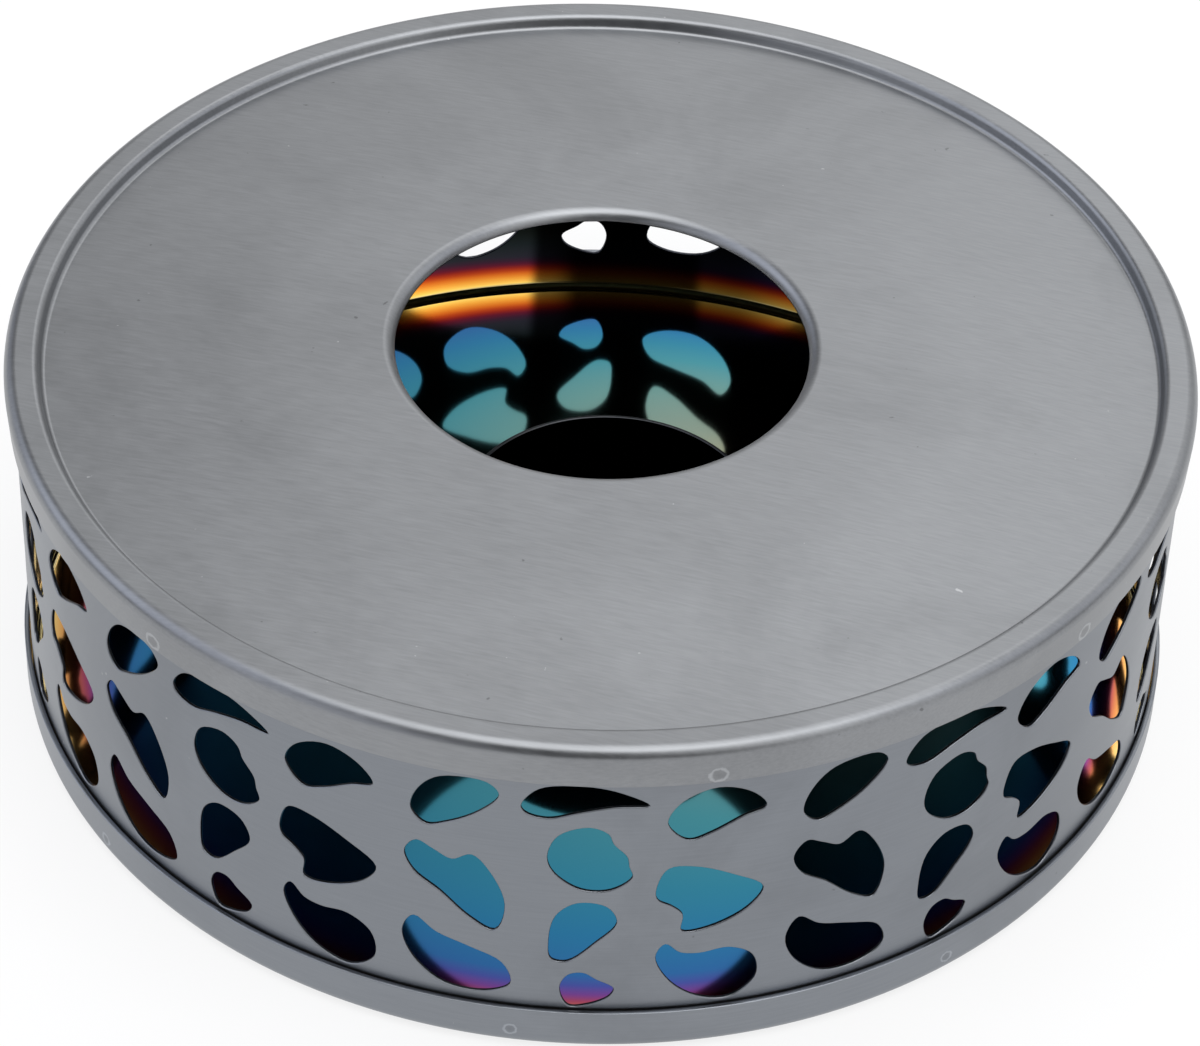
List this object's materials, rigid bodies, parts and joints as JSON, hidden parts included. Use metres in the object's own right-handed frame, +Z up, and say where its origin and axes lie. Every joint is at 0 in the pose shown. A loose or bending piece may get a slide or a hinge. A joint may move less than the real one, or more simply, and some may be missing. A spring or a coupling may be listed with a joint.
{
  "type": "teapot warmer",
  "caption": "Low round steel stand with a perforated wall, a flame hole in its recessed lid and a lift-out cup for a tea light, which keeps a teapot warm.",
  "frame": {"origin": "centre of the underside, on the surface that the warmer stands on", "axes": "+Z up along the axis of the drum, -Y towards the front of the picture, +X to its right"},
  "size_m": [0.1498, 0.1498, 0.05],
  "materials": {
    "base_steel": "brushed stainless steel outside, polished rainbow film inside",
    "wall_steel": "satin stainless steel outside, polished rainbow film inside",
    "lid_steel": "brushed stainless steel",
    "cup_steel": "polished stainless steel"
  },
  "bodies": {
    "drum": {"base_pan": "base_steel", "perforated_wall": "wall_steel", "top_plate": "lid_steel"},
    "cup": {"candle_cup": "cup_steel"}
  },
  "joints": [
    {"name": "cup_lift", "type": "slide", "parent": "drum", "child": "cup", "axis": [0, 0, 1], "range_m": [0, 0.06]}
  ]
}
